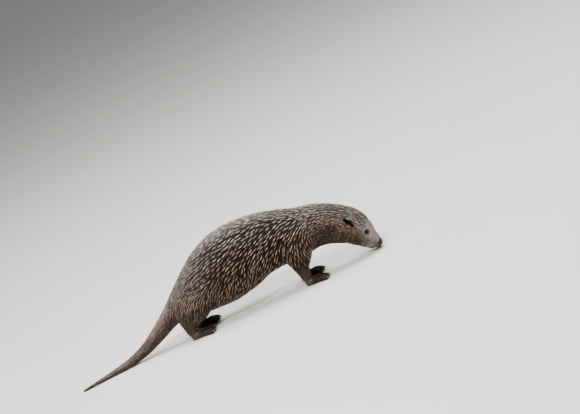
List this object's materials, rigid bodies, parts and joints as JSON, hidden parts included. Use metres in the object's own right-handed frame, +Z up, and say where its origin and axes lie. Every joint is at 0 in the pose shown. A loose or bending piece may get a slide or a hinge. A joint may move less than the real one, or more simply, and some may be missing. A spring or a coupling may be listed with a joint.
{
  "type": "eurasian otter",
  "caption": "Life-size still model of a Eurasian otter on all fours, back arched, nose lowered towards the floor and the end of the tail lying on it.",
  "frame": {"origin": "the middle of the whole animal's box in X and Y, at the height of the floor that its feet and tail rest on", "axes": "+X towards the nose, +Y to the animal's left, +Z up"},
  "size_m": [0.9488, 0.1742, 0.2551],
  "materials": {
    "wet_fur": "wet brown-grey fur",
    "foot_skin": "damp dark bare skin",
    "nose_skin": "damp dark bare skin",
    "eye": "glossy dark eye"
  },
  "bodies": {
    "root": {"head": "wet_fur", "nose": "nose_skin", "eye_right": "eye", "eye_left": "eye", "ear_right": "wet_fur", "ear_left": "wet_fur", "neck": "wet_fur", "trunk": "wet_fur", "tail_base": "wet_fur", "tail_end": "wet_fur", "foreleg_right": "wet_fur", "foreleg_left": "wet_fur", "hindleg_right": "wet_fur", "hindleg_left": "wet_fur", "forepaw_right": "foot_skin", "forepaw_left": "foot_skin", "hindfoot_right": "foot_skin", "hindfoot_left": "foot_skin"}
  },
  "joints": []
}
